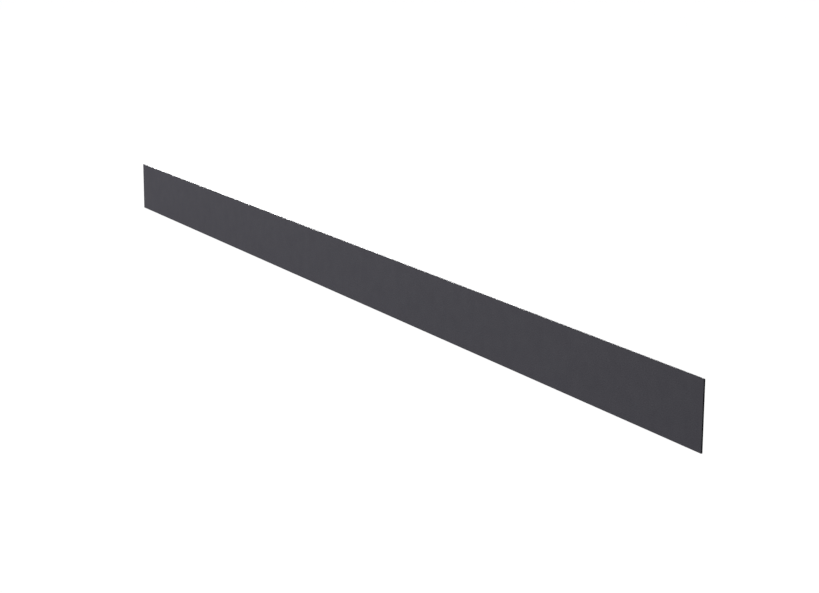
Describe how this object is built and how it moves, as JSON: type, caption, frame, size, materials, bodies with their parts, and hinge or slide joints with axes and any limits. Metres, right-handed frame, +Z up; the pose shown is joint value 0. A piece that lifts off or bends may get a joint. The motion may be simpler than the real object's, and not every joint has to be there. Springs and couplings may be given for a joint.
{
  "type": "kick plate",
  "caption": "Long flat kick plate of thin coated sheet for the base of a run of cabinets, bonded on by strips of double-sided foam tape on its back.",
  "frame": {"origin": "mid-length and mid-height of the plate, on the plane where the tape meets what the plate is bonded to", "axes": "+X along the plate to its right-hand end as seen from the front, +Y out of the back towards what it is bonded to, so the show face looks along -Y, and +Z up"},
  "size_m": [2.4384, 0.0036, 0.1142],
  "materials": {
    "plate_coat": "matte",
    "tape_foam": "matte"
  },
  "bodies": {
    "root": {"plate": "plate_coat", "tape_top_row": "tape_foam", "tape_bottom_row": "tape_foam", "tape_left_end": "tape_foam", "tape_right_end": "tape_foam", "tape_upright_1": "tape_foam", "tape_upright_2": "tape_foam", "tape_upright_3": "tape_foam", "tape_upright_4": "tape_foam", "tape_upright_5": "tape_foam"}
  },
  "joints": []
}
